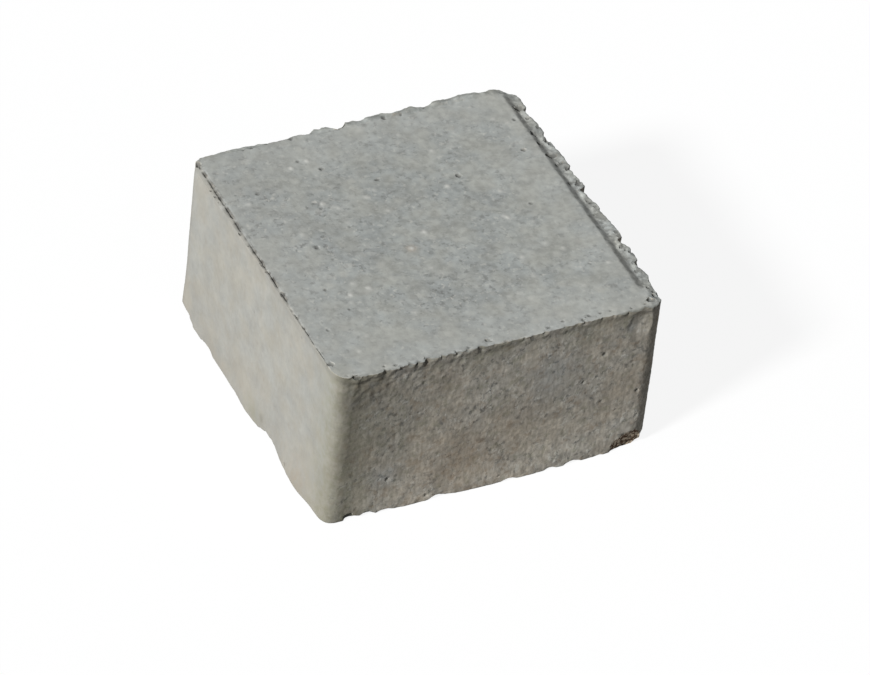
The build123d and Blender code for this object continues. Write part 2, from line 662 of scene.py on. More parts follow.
SIDE_FORMS: dict[Side, SideForm] = {
    Side.LEFT: SideForm(
        lip_width=0.4, lip_rise=-0.05, lip_tilt=0.0, lip_spread=0.1, groove_width=1.0, groove_depth=0.8,
        near_filled=0.5, far_filled=0.15, rim=0.1, foot=0.22, arris=0.01, grain=0.03, drag=0.01,
        holes=0.02, slurry=1.0, groove_dirt_and_shade=1.0, crumble=0.0, lip_fall=0.3, print_slope=0.35, rim_out=0.25,
        rim_tilt=-0.35,
    ),
    Side.RIGHT: SideForm(
        lip_width=3.5, lip_rise=-0.2, lip_tilt=0.2, lip_spread=0.35, groove_width=2.2,
        groove_depth=0.75, near_filled=0.15, far_filled=0.15, rim=0.35, foot=0.3, arris=0.2, groove_dirt_and_shade=0.6,
        crumble=1.0, print_slope=0.95, lip_climb=0.9, rim_out=0.1,
    ),
    Side.FRONT: SideForm(
        lip_width=0.2, lip_rise=-0.1, lip_tilt=0.0, lip_spread=0.25, groove_width=0.5, groove_depth=0.2,
        near_filled=0.85, far_filled=0.85, rim=0.3, foot=0.3, arris=0.05, grain=0.08, holes=0.04,
        slurry=0.0, rim_out=0.4,
    ),
    Side.BACK: SideForm(
        lip_width=2.2, lip_rise=0.6, lip_tilt=2.2, lip_spread=0.5, groove_width=0.8, groove_depth=0.2,
        near_filled=0.8, far_filled=0.6, rim=0.5, foot=0.3, arris=0.5, slurry=0.2,
    ),
}


@dataclass(frozen=True)
class Scar:
    """A shell-shaped break: a ball of stone that is gone. Lengths are in millimetres.

    The place lies on an edge at the scar's middle, the way out points out of the stone there, the reach is
    the scar's length along the edge and the bite its depth.
    """

    place: Triple
    way_out: Triple
    reach: float
    bite: float
    rust: float = 0.0

    @property
    def radius(self) -> float:
        """Radius of the ball."""
        return ((self.reach / 2) ** 2 + self.bite**2) / (2 * self.bite)

    @property
    def centre(self) -> Array:
        """Middle of the ball, outside the stone."""
        return np.array(self.place) + unit(self.way_out) * (self.radius - self.bite)


@dataclass(frozen=True)
class Pit:
    """A small deep hole, pushed into the skin along one way. Lengths are in millimetres."""

    place: Triple
    way_in: Triple
    radius: float
    depth: float


@dataclass(frozen=True)
class EdgePits:
    """Pits strewn along one upper edge. Lengths are in millimetres.

    Out is the way out of the side in plan, and run is the stretch of the edge that holds them. Inset,
    radius and depth are drawn between two ends, or are one number where both ends are the same.
    """

    out: Pair
    run: Pair
    count: int
    inset: Pair
    way_in: Triple
    radius: Pair
    depth: Pair
    lift: float = 0.0


EDGE_PITS = (
    EdgePits((0, -1), (-51, 52), 16, (0.6, 2.5), DOWN, (0.35, 0.6), (0.35, 0.35)),
    EdgePits((1, 0), (-52, 50), 34, (0.4, 3.6), (-0.4, 0, -1), (0.5, 1.1), (0.3, 0.7)),
    EdgePits((0, 1), (-48, 50), 14, (0.2, 2.2), (0, -0.4, -1), (0.5, 0.9), (0.3, 0.6), 0.2),
    EdgePits((-1, 0), (-34, 52), 12, (0.3, 0.3), (0.3, 0, -1), (0.5, 0.9), (0.3, 0.6)),
)


@dataclass(frozen=True)
class Mark:
    """A stain, speck or painted highlight round one place on the skin, which fades out over its reach, in
    millimetres.
    """

    zone: Zone
    place: Triple
    reach: float
    strength: float


@dataclass
class Lattice:
    """The plain block as a closed net of four-sided faces, before any relief.

    The top and the bed are grids over the same plan, and the sides are rings between their rims.
    """

    plan: Array
    ring: Array
    levels: Array
    quads: Array


@dataclass
class PavingStone:
    """The whole stone, one cast piece: its size comes from the frame, its relief from the photograph.

    Lengths are in millimetres, apart from the frame's corners, and the mesh is scaled to metres at the end.
    """

    low: Vector
    high: Vector
    finish: Concrete
    name: str = "stone"
    noise: RandomField = field(default_factory=lambda: RandomField(SEED))

    # Block and net
    corner_radius: float = 7.0
    lip_rise: float = 0.8
    bed_arris: float = 0.6
    edge_band: float = 1.6
    edge_step: float = 0.16
    rim_band: float = 4.8
    rim_step: float = 0.3
    open_step: float = 0.45
    triangles: int = 196_000
    sharp_angle: float = math.radians(38.0)

    # Sides
    edge_fade: float = 4.0
    wave: float = 0.25
    drag_squeeze: float = 0.1
    arris_drop: float = 0.35
    bed_arris_drop: float = 0.4
    near_corner_out: float = 1.0
    near_corner_taper: float = 0.6
    scarred_depth: float = 0.45
    scarred_run: float = 75.0
    scarred_foot: float = 44.0
    scarred_rise: float = 12.0
    hole_share: float = 0.5
    torn_hole: float = 0.5

    # Crumbled upper edges: places along the side, with reach and bite
    bite_rag: float = 0.3
    step_rag: float = 1.6
    bite_wander: float = 1.2
    bite_height: float = 2.0
    bite_height_spread: float = 2.5
    least_bite_height: float = 0.8
    right_dips: tuple[Triple, ...] = (
        (44.5, 8.0, 1.5), (31.0, 7.0, 1.0), (12.5, 6.0, 0.9), (1.5, 8.0, 2.2),
        (-9.5, 11.0, 0.8), (-24.8, 4.5, 2.2), (-31.0, 7.0, 0.6), (-36.5, 8.0, 2.1),
    )
    front_bites: tuple[Triple, ...] = (
        (-52.4, 1.3, 0.9), (-42.0, 1.0, 0.9), (-36.7, 0.6, 0.8), (-33.6, 0.8, 1.1), (-30.8, 0.7, 1.0),
        (-26.8, 1.1, 1.2), (-22.7, 0.5, 0.8), (-19.5, 1.2, 0.6), (-17.0, 0.6, 0.8), (-13.5, 0.8, 0.7),
        (-8.8, 0.9, 0.9), (-0.5, 0.9, 0.5), (6.0, 0.6, 0.4), (13.2, 0.7, 0.5), (21.0, 0.8, 0.5),
        (27.0, 0.6, 0.6), (33.5, 0.9, 0.4), (43.0, 0.7, 0.5), (49.0, 1.0, 0.8),
    )
    back_dips: tuple[Triple, ...] = (
        (-26.0, 20.0, 1.2), (-16.5, 6.0, 1.5), (-5.5, 7.0, 2.1), (3.0, 4.0, 0.9),
        (15.0, 8.0, 0.9), (25.5, 7.0, 1.2), (47.0, 6.0, 0.7),
    )
    front_dips: tuple[float, ...] = (-48.0, -43.0, -18.0, 30.0)

    # Slumped foot
    slump_height: float = 7.0
    left_slump: float = 0.3
    left_bulges: tuple[Triple, ...] = ((-37.0, 10.0, 1.6), (1.0, 7.0, 0.7))
    front_slump: float = 0.9
    front_slump_half: float = 38.0
    corner_slump: float = 0.5
    corner_slump_reach: float = 8.0

    # Print, groove and lip
    print_turn: float = math.radians(-1.05)
    print_radius: float = 2.0
    print_wobble: float = 0.15
    lip_edge: float = 0.5
    broad_lip: float = 2.0
    crest_fall: float = 0.25
    crest_rag: float = 1.6
    crest_corner: float = 18.0
    corner_drop: float = 0.7
    lip_grain: float = 0.2
    slurry_edge: float = 0.2
    groove_clear: float = 1.5
    groove_crumbs: float = 2.0
    end_crumbs: float = 0.8
    near_crumbs: float = 18.0
    far_crumbs: float = 6.0
    dash_level: float = 0.75
    dash_spread: float = 1.3
    # Band of the groove that is painted dark, partly dirt and partly painted shade: margin, rise, full
    # width and fade
    groove_band_margin: float = 0.2
    groove_band_in: float = 0.25
    groove_band_full: float = 0.8
    groove_band_out: float = 0.65
    # Painted shade, with some dirt, in the bitten notches of the front's upper edge
    torn_dark: float = 0.65
    torn_reach: float = 0.9

    # Pressed face: grains, pores and open patches with half width, half length and edge
    top_grain: float = 0.02
    open_grain: float = 0.05
    top_holes: float = 0.03
    open_holes: float = 0.08
    # How deep an air hole of the top must be to be painted fully dark, as painted shade with some dirt
    dark_hole: float = 0.6
    least_open: float = 0.15
    open_gain: float = 0.85
    open_reach: float = 1.25
    open_uneven: float = 0.5
    open_dark: float = 0.08
    open_blue: float = 0.2
    pale_margin: float = 0.24
    margin_reach: float = 30.0
    open_patches: tuple[tuple[float, ...], ...] = (
        (-36.0, 16.0, 24.0, 36.0, 0.0), (-12.0, -28.0, 36.0, 16.0, 0.25),
    )
    grain_rise: float = 0.16
    grain_reach: float = 0.8
    proud_size: float = 1.5
    strewn_grains: int = 40
    strewn_margin: float = 7.0
    strewn_sizes: Pair = (0.4, 1.1)
    proud_grains: tuple[Pair, ...] = (
        (-8.7, -6.9), (-1.5, -1.0), (15.5, 17.2), (-22.0, 43.8),
        (-28.2, 42.0), (-26.5, 22.2), (-36.8, -21.2), (26.8, -3.2),
    )
    deep_pores: tuple[Pair, ...] = ((-19.1, 38.4), (21.4, 21.1), (47.0, 25.6))
    open_pores: tuple[Pair, ...] = (
        (-40.0, -27.2), (-43.2, -16.0), (-25.0, 44.5), (-37.2, 3.5), (-44.0, 33.8), (-4.5, 27.5),
    )

    # Breaks and holes, and how dark the holes are painted: painted shade in the hollows, with some dirt
    small_scars: int = 10
    small_scar_run: Pair = (-52.0, 52.0)
    small_scar_reach: Pair = (3.0, 6.0)
    small_scar_bite: Pair = (0.2, 0.5)
    scar_margin: float = 1.1
    break_rag: float = 0.5
    break_share: float = 0.3
    rust_edge: float = 0.15
    pit_rag: float = 0.7
    pit_dark: float = 1.5
    bed_holes: float = 0.3
    bed_hole_depth: float = 0.3
    bed_hole_dark: float = 1.2
    side_hole_dark: float = 0.9

    # Flecks high on the front, broad stains and darkening of the sides, and painted shade below the front's
    # upper edge
    flecks: int = 14
    fleck_run: Pair = (-54.0, -12.0)
    fleck_depth: Pair = (1.0, 12.0)
    fleck_reach: Pair = (0.5, 1.2)
    fleck_share: Pair = (0.5, 1.0)
    mark_rag: float = 0.35
    corner_olive: float = 0.75
    corner_olive_in: float = 3.0
    corner_olive_reach: float = 11.0
    front_dark: float = 0.23
    front_dark_foot: float = 6.0
    front_dark_rise: float = 26.0
    high_dark: float = 0.1
    end_darks: tuple[Pair, ...] = ((0.42, 34.0), (0.3, 12.0))
    shade_dark: float = 0.55
    shade_run: float = 40.0
    shade_foot: float = 42.0
    shade_rise: float = 10.0
    # Painted shade, partly dirt, below the front's upper edge, where it overhangs
    edge_dark: float = 0.35
    edge_depth: float = 4.0
    edge_rise: float = 2.5
    band_foot: float = 0.82
    band_rise: float = 0.14
    band_level: float = 0.3
    band_spread: float = 0.6
    left_height: float = 30.0
    left_brown: float = 0.12
    left_dark: float = 0.09
    back_olive: float = 0.3
    back_olive_width: float = 2.5
    back_olive_depth: float = 1.0

    @property
    def half(self) -> Array:
        """Half the stone's width and length."""
        return np.array([self.high.x - self.low.x, self.high.y - self.low.y]) / 2 / MM

    @property
    def face(self) -> float:
        """Height of the pressed face above the bed."""
        return (self.high.z - self.low.z) / MM - self.lip_rise

    def graded(self, half: float) -> Array:
        """Spaces lattice lines from end to end, closer together near both ends.

        Args:
            half: Half the length to divide.

        Returns:
            The places of the lines, about the middle.
        """
        stops = (0.0, half - self.edge_band - self.rim_band, half - self.edge_band, half)
        steps = (self.open_step, self.rim_step, self.edge_step)
        runs = [np.linspace(a, b, round((b - a) / s) + 1)[1:] for a, b, s in zip(stops, stops[1:], steps)]
        out = np.concatenate(runs)
        return np.concatenate([-out[::-1], [0.0], out])

    def lattice(self) -> Lattice:
        """Lays out the net of the plain block.

        Returns:
            The net, with the corners of the plan drawn round.
        """
        across, along = self.graded(self.half[0]), self.graded(self.half[1])
        levels = self.graded(self.face / 2) + self.face / 2
        nx, ny, nz = len(across), len(along), len(levels)
        plan = np.stack(np.meshgrid(across, along, indexing="ij"), axis=-1).reshape(-1, 2)
        index = np.arange(nx * ny).reshape(nx, ny)
        ring = np.concatenate([index[:, 0], index[-1, 1:], index[-2::-1, -1], index[0, -2:0:-1]])
        corners = [index[:-1, :-1], index[1:, :-1], index[1:, 1:], index[:-1, 1:]]
        tops = np.stack(corners, axis=-1).reshape(-1, 4)
        beds = tops[:, ::-1] + nx * ny
        rings = 2 * nx * ny + np.arange((nz - 2) * len(ring)).reshape(nz - 2, len(ring))
        rings = np.vstack([ring + nx * ny, rings, ring])
        turned = np.roll(rings, -1, axis=1)
        walls = np.stack([rings[:-1], turned[:-1], turned[1:], rings[1:]], axis=-1).reshape(-1, 4)
        return Lattice(self.round_corners(plan), ring, levels, np.vstack([tops, beds, walls]))

    def round_corners(self, plan: Array) -> Array:
        """Draws the four corner squares of a square grid into quarter discs.

        Args:
            plan: Plan points of the square grid.

        Returns:
            The points with round corners.
        """
        core = self.half - self.corner_radius
        beyond = np.abs(plan) - core
        inside = (beyond > 0).all(axis=1)
        reach = beyond.max(axis=1)
        turn = math.pi / 4 * beyond.min(axis=1) / np.maximum(reach, TINY)
        far = core + (reach * np.cos(turn))[:, None]
        near = core + (reach * np.sin(turn))[:, None]
        drawn = np.where(beyond >= reach[:, None], far, near)
        return np.where(inside[:, None], drawn * np.sign(plan), plan)

    def side_shares(self, way: Array) -> Array:
        """Says how much each side owns of a point, from the way out of the outline there."""
        x, y = way.T
        return np.stack([np.maximum(v, 0.0) ** 2 for v in (-x, x, -y, y)], axis=1)

    def by_side(self, shares: Array, name: str) -> Array:
        """Blends one size of the four sides by their shares."""
        return shares @ np.array([getattr(SIDE_FORMS[side], name) for side in Side])

    def wall_relief(self, at: Array, way: Array) -> tuple[Array, Array]:
        """Works out how far the sides stand in or out of their planes.

        Args:
            at: Points on the plain sides.
            way: Way straight out at each point.

        Returns:
            How far each point stands out, and how deep it lies in an air hole.
        """
        shares = self.side_shares(way)
        left, front = shares[:, Side.LEFT.value], shares[:, Side.FRONT.value]
        above, below = at[:, 2], self.face - at[:, 2]
        rim, foot = fade_out(below, self.edge_fade), fade_out(above, self.edge_fade)
        out = self.noise.lumps(at, Lumps.SIDE_GRAIN) * self.by_side(shares, "grain")
        out += self.noise.waves(at * (1, 1, self.drag_squeeze), Waves.DRAG) * self.by_side(shares, "drag")
        out += self.noise.waves(at, Waves.SIDE) * self.wave
        out += self.noise.lumps(at, Lumps.RIM) * self.by_side(shares, "rim") * rim
        out += self.noise.lumps(at, Lumps.FOOT) * self.by_side(shares, "foot") * foot
        tilt = self.by_side(shares, "rim_tilt") * self.along_share(at, shares)
        out += (self.by_side(shares, "rim_out") + tilt) * rim
        near_corner = 4 * left * front
        taper = 1 - self.near_corner_taper * fade_out(below, 2 * self.edge_fade)
        out += self.near_corner_out * near_corner * taper
        arris = self.by_side(shares, "arris")
        out -= self.arris_drop * arris * np.clip(1 - below / arris, 0, 1) ** 2
        out -= self.bed_arris_drop * self.bed_arris * np.clip(1 - above / self.bed_arris, 0, 1) ** 2
        out += self.slump(at, shares)
        scarred = front * fade_out(at[:, 0] + self.half[0], self.scarred_run)
        high = smooth_step((above - self.scarred_foot) / self.scarred_rise)
        out += self.scarred_depth * self.noise.lumps(at, Lumps.SCARRED_SIDE) * scarred * high
        bitten = self.bites(at, shares)
        holes = self.noise.bubbles(at, Bubbles.SIDE, self.by_side(shares, "holes"))
        out -= self.hole_share * holes + bitten
        # Air holes and the bitten notches of the front are painted dark later: painted shade in the
        # hollows, with some dirt
        return out, np.maximum(holes, self.torn_hole * smooth_step(bitten) * front)

    def bites(self, at: Array, shares: Array) -> Array:
        """Works out how far the upper edge has crumbled: steps at the front, saw teeth at the right.

        Args:
            at: Points on the plain sides.
            shares: Shares of the four sides.

        Returns:
            How far the edge lies back.
        """
        flat = at * (1, 1, 0)
        ragged = self.bite_rag * self.noise.lumps(flat, Lumps.RAGGED_EDGE)
        steps, teeth = self.step_rag * ragged, ragged
        wander = at[:, 0] + self.bite_wander * self.noise.lumps(at, Lumps.BITE_PLACE)
        for place, width, bite in self.front_bites:
            steps = np.maximum(steps, bite * bell((wander - place) / width))
        for place, run, bite in self.right_dips:
            past = place - at[:, 1]
            share = np.where(past > 0, 1 - past / run, 1 + past)
            teeth = np.maximum(teeth, bite * np.clip(share, 0, 1) + ragged)
        below = self.face - at[:, 2]
        height = self.bite_height + self.bite_height_spread * self.noise.waves(flat, Waves.BITE_HEIGHT)
        steps = steps * fade_out(below, np.maximum(height, self.least_bite_height))
        teeth = teeth * fade_out(below, self.edge_fade)
        return steps * shares[:, Side.FRONT.value] + teeth * shares[:, Side.RIGHT.value]

    def slump(self, at: Array, shares: Array) -> Array:
        """Lets the foot of two sides bulge, where the fresh mix sagged out under the mould.

        Args:
            at: Points on the plain sides.
            shares: Shares of the four sides.

        Returns:
            How far each point bulges out.
        """
        low = bell(at[:, 2] / self.slump_height)
        left = self.left_slump
        for place, reach, out in self.left_bulges:
            left = left + out * bell((at[:, 1] - place) / reach)
        front = self.front_slump * np.exp(-((at[:, 0] / self.front_slump_half) ** 4))
        away = (at[:, :2] + self.half) / self.corner_slump_reach
        corner = self.corner_slump * np.exp(-(away**2).sum(axis=1))
        return low * (left * shares[:, Side.LEFT.value] + front * shares[:, Side.FRONT.value] + corner)

    def top_relief(self, plan: Array) -> tuple[Array, dict[Zone, Array]]:
        """Works out the height of the top above the pressed face: print, groove and lip.

        Args:
            plan: Plan points.

        Returns:
            The heights, and how far each zone reaches.
        """
        inset = [SIDE_FORMS[side].lip_width + SIDE_FORMS[side].groove_width for side in Side]
        left, right, front, back = inset
        middle = np.array([left - right, front - back]) / 2
        half = self.half - np.array([left + right, front + back]) / 2
        cos, sin = math.cos(self.print_turn), math.sin(self.print_turn)
        turned = (plan - middle) @ np.array([[cos, -sin], [sin, cos]])
        printed, _ = rounded_distance(turned, half, self.print_radius)
        outer, way = rounded_distance(plan, self.half, self.corner_radius)
        shares = self.side_shares(way)
        at = np.column_stack([plan, np.full(len(plan), self.face)])
        width = self.by_side(shares, "groove_width")
        printed += self.noise.lumps(at, Lumps.PRINT_EDGE) * self.print_wobble * width
        clear = self.clear_share(at, shares)
        slope = self.by_side(shares, "print_slope") * width
        floor = np.clip(printed / slope, 0, 1) * clear
        beyond = np.maximum(printed - slope, 0.0)
        share = beyond / np.maximum(beyond - outer, TINY)
        rise = smooth_step(share / self.by_side(shares, "lip_climb"))
        fall = 1 - self.crest_fall * smooth_step(2 * share - 1)
        lip = smooth_step(beyond / self.lip_edge)
        opened = self.open_share(at) * (1 - lip)
        holes = self.noise.bubbles(at, Bubbles.TOP, self.top_holes + self.open_holes * opened) * (1 - lip)
        crumble = lip * self.by_side(shares, "crumble")
        grain = self.top_grain + self.open_grain * opened + self.lip_grain * crumble
        height = self.noise.waves(at, Waves.TOP) * self.wave + self.noise.lumps(at, Lumps.TOP_GRAIN) * grain
        height -= self.hole_share * holes
        crest = self.crest(at, shares) * rise * fall
        height += crest - self.by_side(shares, "groove_depth") * floor * (1 - rise)
        height -= self.by_side(shares, "lip_fall") * beyond
        for x, y, size in self.grains():
            away = (plan - (x, y)) / self.grain_reach
            height += self.grain_rise * size * np.exp(-(away**2).sum(axis=1))
        arris = self.by_side(shares, "arris")
        height -= self.arris_drop * arris * np.clip(1 + outer / arris, 0, 1) ** 2
        # The groove's band is painted dark: partly dirt, partly painted shade in the recess
        inner = np.clip((printed + self.groove_band_margin) / (self.groove_band_in * width), 0, 1)
        band = inner * fade_out(printed - self.groove_band_full * width, self.groove_band_out * width)
        # Painted shade, with some dirt, in the bitten notches along the front's upper edge
        torn = self.torn_dark * smooth_step(self.bites(at, shares)) * fade_out(-outer, self.torn_reach)
        zones = {Zone.GROOVE: band * clear * self.by_side(shares, "groove_dirt_and_shade"), Zone.LIP: crumble}
        # Air holes of the top and the front's notches are painted dark: painted shade in the hollows, with
        # some dirt
        zones[Zone.PIT] = np.maximum(holes / self.dark_hole, torn * shares[:, Side.FRONT.value])
        zones[Zone.OPEN] = opened
        zones[Zone.PALE] = self.pale_margin * fade_out(-outer, self.margin_reach) * (1 - lip)
        zones[Zone.SLURRY] = smooth_step(beyond / self.slurry_edge) * shares[:, Side.LEFT.value]
        zones[Zone.DARK] = self.open_dark * opened
        zones[Zone.BLUE] = self.open_blue * opened
        return height, zones

    def along_share(self, at: Array, shares: Array) -> Array:
        """Says how far along its side a point lies, from -1 at the near end to 1 at the far end."""
        return np.where(shares[:, :2].sum(axis=1) > 0.5, at[:, 1] / self.half[1], at[:, 0] / self.half[0])

    def clear_share(self, at: Array, shares: Array) -> Array:
        """Says where the groove is clear, and where crumbs fill it.

        Args:
            at: Points of the top.
            shares: Shares of the four sides.

        Returns:
            A share of 0 to 1 for each point.
        """
        far = (self.along_share(at, shares) + 1) / 2
        filled = self.by_side(shares, "near_filled") * (1 - far) + self.by_side(shares, "far_filled") * far
        filled += self.end_crumbs * fade_out(at[:, 1] + self.half[1], self.near_crumbs)
        far_end = fade_out(self.half[1] - at[:, 1], self.far_crumbs)
        filled += self.end_crumbs * far_end * shares[:, Side.RIGHT.value]
        level = self.noise.lumps(at, Lumps.GROOVE_FILL) + self.groove_clear
        clear = smooth_step(level - self.groove_crumbs * filled)
        lines = self.noise.lumps(at * (0, 1, 1), Lumps.GROOVE_DASHES)
        dashes = smooth_step(self.dash_level + self.dash_spread * lines)
        return clear * (1 + (dashes - 1) * shares[:, Side.LEFT.value])

    def crest(self, at: Array, shares: Array) -> Array:
        """Works out the height of the lip's crest, which falls off towards the stone's corners.

        Args:
            at: Points of the top.
            shares: Shares of the four sides.

        Returns:
            The height above the pressed face.
        """
        ragged = self.noise.lumps(at, Lumps.CREST) * self.crest_rag
        corner = fade_out((self.half - np.abs(at[:, :2])).max(axis=1), self.crest_corner)
        tilt = self.by_side(shares, "lip_tilt") / 2 * self.along_share(at, shares)
        rise = self.by_side(shares, "lip_rise") + tilt + self.by_side(shares, "lip_spread") * ragged
        broad = np.minimum(self.by_side(shares, "lip_width") / self.broad_lip, 1.0)
        return rise * (1 - corner) - self.corner_drop * corner * broad

    def open_share(self, at: Array) -> Array:
        """Says how open the grain of the pressed face is: most in two patches, at the left and the front.

        Args:
            at: Points of the top.

        Returns:
            A share of 0 to 1 for each point.
        """
        away = [
            np.linalg.norm((at[:, :2] - (x, y)) / (width, length), axis=1) + edge
            for x, y, width, length, edge in self.open_patches
        ]
        uneven = self.open_uneven * self.noise.lumps(at, Lumps.OPEN_PATCHES)
        return self.least_open + self.open_gain * smooth_step(self.open_reach - np.minimum(*away) + uneven)

    def grains(self) -> list[Triple]:
        """Lists the grains that stand proud of the pressed face: those in the photo, then more at random.

        Returns:
            The plan place and the size of each grain.
        """
        draw = np.random.default_rng(SEED + 3)
        found = [(*spot, self.proud_size) for spot in self.proud_grains]
        for _ in range(self.strewn_grains):
            spot = draw.uniform(-1, 1, 2) * (self.half - self.strewn_margin)
            found.append((*spot, draw.uniform(*self.strewn_sizes)))
        return found

    def on_edge(self, out: Pair, along: float, inset: float, height: float) -> Triple:
        """Finds a place along one edge of the plan, a little in from it."""
        x, y = (self.half - inset) * out + along * np.abs(out)[::-1]
        return x, y, height

    def scars(self) -> list[Scar]:
        """Lists the breaks along the edges: those the photograph shows, then small ones at random.

        Returns:
            The scars.
        """
        x, y = self.half
        top = self.face
        found = [Scar((dip, y, top), (0, 1, 0.7), reach, bite) for dip, reach, bite in self.back_dips]
        found += [Scar((dip, -y, 0), (0, -1, -1), 6.0, 0.9) for dip in self.front_dips]
        found += [
            Scar((0.43 * 2 * x, -y, 0.5), (0.1, -1, -0.1), 17.0, 1.9, 1.0),
            Scar((-x, 0.43 * 2 * y, 0), (-1, 0.3, -1), 18.0, 2.4),
            Scar((-x, -0.14 * 2 * y, 0), (-1, 0, -1), 15.0, 1.7),
            Scar((-x, 0.28 * 2 * y, 0), (-1, 0, -1), 10.0, 1.0),
            Scar((x - 1.5, -y + 1.5, 0), (1, -1, -0.25), 24.0, 1.7),
            Scar((x - 3.0, -y + 3.0, 0), (1, -1, -1.2), 10.0, 1.0, 1.0),
            Scar((x - 2.0, y - 2.0, top), (1, 1, 0.6), 12.0, 1.2),
            Scar((x, -y + 10.0, top), (1, -0.15, 0.3), 26.0, 1.7),
            Scar((44.0, -y, top), (0.1, -1, 1), 20.0, 0.4),
            Scar((46.4, -y, 53.2), (0.1, -1, 0), 9.0, 0.5),
        ]
        draw = np.random.default_rng(SEED)
        for out in ((1, 0), (0, -1), (0, 1)):
            for along in draw.uniform(*self.small_scar_run, self.small_scars):
                place = self.on_edge(out, along, 0.0, 0.0)
                reach, bite = draw.uniform(*self.small_scar_reach), draw.uniform(*self.small_scar_bite)
                found.append(Scar(place, (*out, -1), reach, bite))
        return found

    def pits(self) -> list[Pit]:
        """Lists the small deep holes: those the photograph shows, then more along the upper edges.

        Returns:
            The pits.
        """
        y = self.half[1]
        top = self.face
        found = [Pit((*spot, top), DOWN, 0.9, 0.7) for spot in self.deep_pores]
        found += [Pit((*spot, top), DOWN, 0.65, 0.3) for spot in self.open_pores]
        found += [
            Pit((-55.7, 54.0, top), DOWN, 1.1, 0.9),
            Pit((-56.8, -49.0, top), DOWN, 1.0, 0.7),
            Pit((-52.1, -y, top), (0, 1, -0.6), 1.5, 1.1),
            Pit((-49.4, -y, 1.0), (0, 1, 0.5), 1.6, 1.1),
            Pit((52.0, -54.8, top), (-0.2, 0.2, -1), 1.2, 1.0),
            Pit((54.2, -53.0, top), (-0.4, 0.2, -1), 0.9, 0.8),
            Pit((54.1, 21.0, top), (-0.3, 0, -1), 1.3, 0.8),
            Pit((54.6, 33.1, top), (-0.3, 0, -1), 1.2, 0.8),
            Pit((55.6, 40.4, top), (-0.3, 0, -1), 1.0, 0.8),
            Pit((55.6, 46.0, top), (-0.3, 0, -1), 1.6, 1.0),
        ]
        draw = np.random.default_rng(SEED + 1)
        for row in EDGE_PITS:
            for along in draw.uniform(*row.run, row.count):
                place = self.on_edge(row.out, along, between(draw, row.inset), top + row.lift)
                found.append(Pit(place, row.way_in, between(draw, row.radius), between(draw, row.depth)))
        return found

    def marks(self) -> list[Mark]:
        """Lists the stains and specks that the photograph shows, a painted highlight on a small ridge, and
        flecks at random high on the front.

        Returns:
            The marks.
        """
        x, y = self.half
        top = self.face
        front = [
            (Zone.BROWN, -19.4, 49.4, 5.0, 0.40),
            (Zone.BROWN, -11.4, 13.6, 13.0, 0.65),
            (Zone.BROWN, -33.3, 15.2, 2.5, 0.50),
            (Zone.BROWN, 45.5, 28.3, 7.0, 0.35),
            (Zone.BROWN, 7.0, 24.0, 10.0, 0.40),
            (Zone.OLIVE, -8.6, 52.5, 4.0, 0.40),
            (Zone.OLIVE, 29.9, 53.7, 4.0, 0.50),
            (Zone.OLIVE, -46.0, 36.0, 16.0, 0.35),
            (Zone.BLUE, 19.1, 40.2, 9.0, 0.45),
            (Zone.BLUE, -37.8, 15.3, 5.0, 0.50),
            (Zone.PALE, 44.9, 52.3, 1.3, 0.80),
            (Zone.PALE, -37.5, 56.5, 1.4, 0.45),
            (Zone.PALE, -46.0, 55.0, 1.3, 0.40),
            # A painted highlight: the lit top of a small ridge low on the front, drawn as a pale mark
            (Zone.PALE, 43.9, 11.8, 1.4, 0.40),
        ]
        left = [
            (Zone.OLIVE, -4.3, 3.3, 5.0, 0.50),
            (Zone.BROWN, -38.7, 3.2, 7.0, 0.25),
            (Zone.DARK, -4.7, 30.9, 1.6, 0.30),
            (Zone.DARK, -9.4, 4.9, 1.2, 0.50),
        ]
        found = [Mark(zone, (u, -y, z), reach, amount) for zone, u, z, reach, amount in front]
        found += [Mark(zone, (-x, u, z), reach, amount) for zone, u, z, reach, amount in left]
        draw = np.random.default_rng(SEED + 2)
        for zone, amount in ((Zone.PALE, 0.4), (Zone.PIT, 0.45)):
            for along in draw.uniform(*self.fleck_run, self.flecks):
                place = (along, -y, top - draw.uniform(*self.fleck_depth))
                reach = draw.uniform(*self.fleck_reach)
                found.append(Mark(zone, place, reach, amount * draw.uniform(*self.fleck_share)))
        found += [Mark(Zone.PALE, (gx, gy, top), 0.9, size) for gx, gy, size in self.grains()]
        found.append(Mark(Zone.BROWN, (*self.proud_grains[0], top), 1.5, 1.0))
        found.append(Mark(Zone.OLIVE, (-55.0, -52.0, top), 4.0, 0.35))
        found.append(Mark(Zone.PALE, (-x + 0.4, 31.8, top), 1.1, 0.7))
        return found

